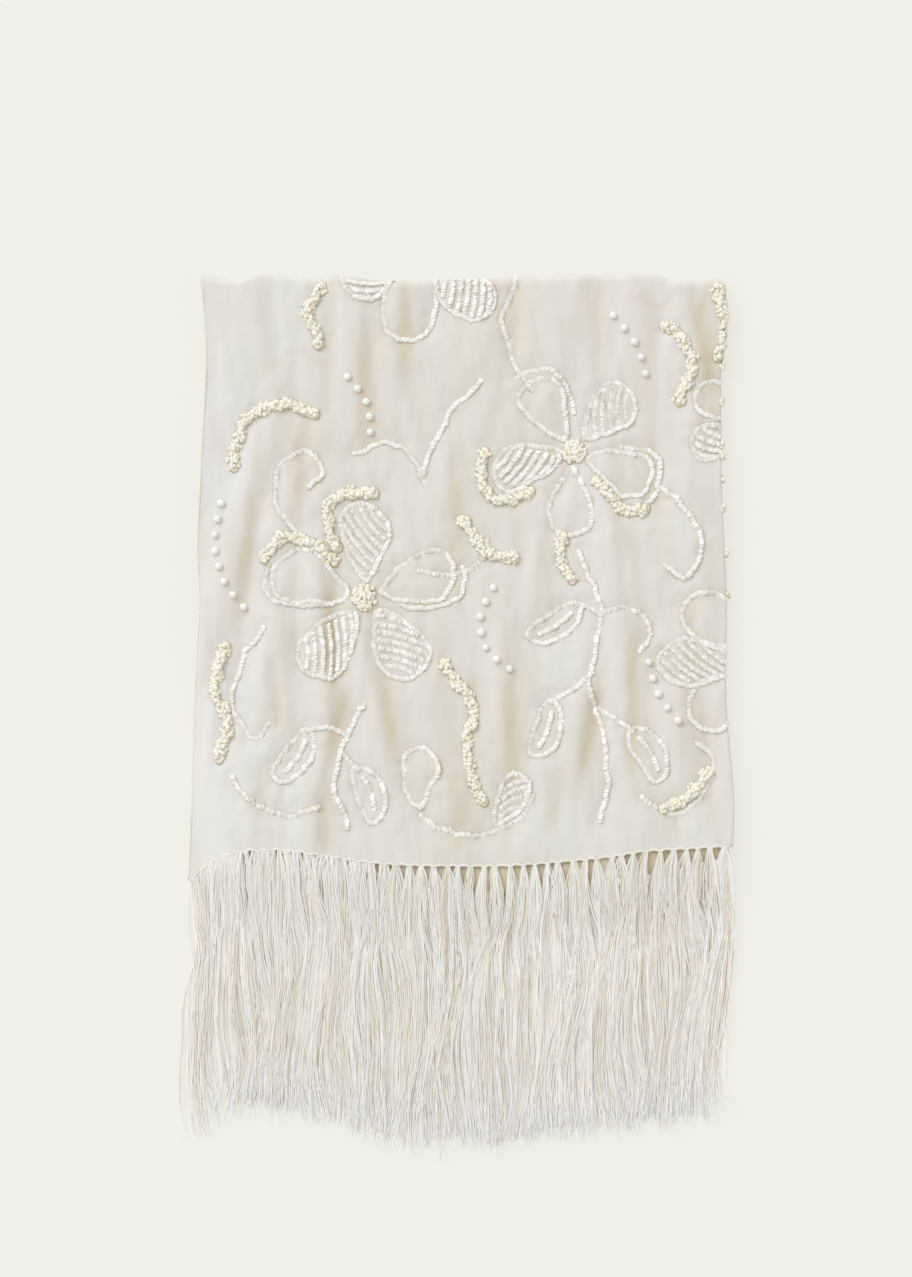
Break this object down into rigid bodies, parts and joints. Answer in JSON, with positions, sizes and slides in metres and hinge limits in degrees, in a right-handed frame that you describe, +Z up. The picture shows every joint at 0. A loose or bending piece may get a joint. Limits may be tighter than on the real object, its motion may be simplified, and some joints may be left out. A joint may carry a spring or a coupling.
{
  "type": "folded sequined scarf",
  "caption": "Ivory silk evening scarf with sequin flowers and knotted fringe, folded to a quarter and lying flat.",
  "frame": {"origin": "under the middle of the folded scarf's outline, on the surface it lies on", "axes": "+X across the folded width to the long fold, +Y from the fringe to the head fold, +Z up"},
  "size_m": [0.3382, 0.5448, 0.0161],
  "materials": {
    "silk": "soft sheen",
    "silk_lower_layers": "soft sheen",
    "fringe_thread": "silky",
    "pearl_sequins": "pearly gloss",
    "ruched_sequins": "satin"
  },
  "bodies": {
    "root": {"front_panel": "silk", "folded_layers": "silk_lower_layers", "front_fringe": "fringe_thread", "under_fringe": "fringe_thread", "rose_petal_1": "pearl_sequins", "rose_petal_2": "pearl_sequins", "rose_petal_3": "pearl_sequins", "rose_petal_4": "pearl_sequins", "rose_petal_5": "pearl_sequins", "daisy_petal_1": "pearl_sequins", "daisy_petal_2": "pearl_sequins", "daisy_petal_3": "pearl_sequins", "daisy_petal_4": "pearl_sequins", "daisy_petal_5": "pearl_sequins", "leaf_1": "pearl_sequins", "leaf_2": "pearl_sequins", "leaf_3": "pearl_sequins", "leaf_4": "pearl_sequins", "leaf_5": "pearl_sequins", "stem_1": "pearl_sequins", "stem_2": "pearl_sequins", "stem_3": "pearl_sequins", "ruche_1": "ruched_sequins", "ruche_2": "ruched_sequins", "ruche_3": "ruched_sequins", "ruche_4": "ruched_sequins"}
  },
  "joints": []
}
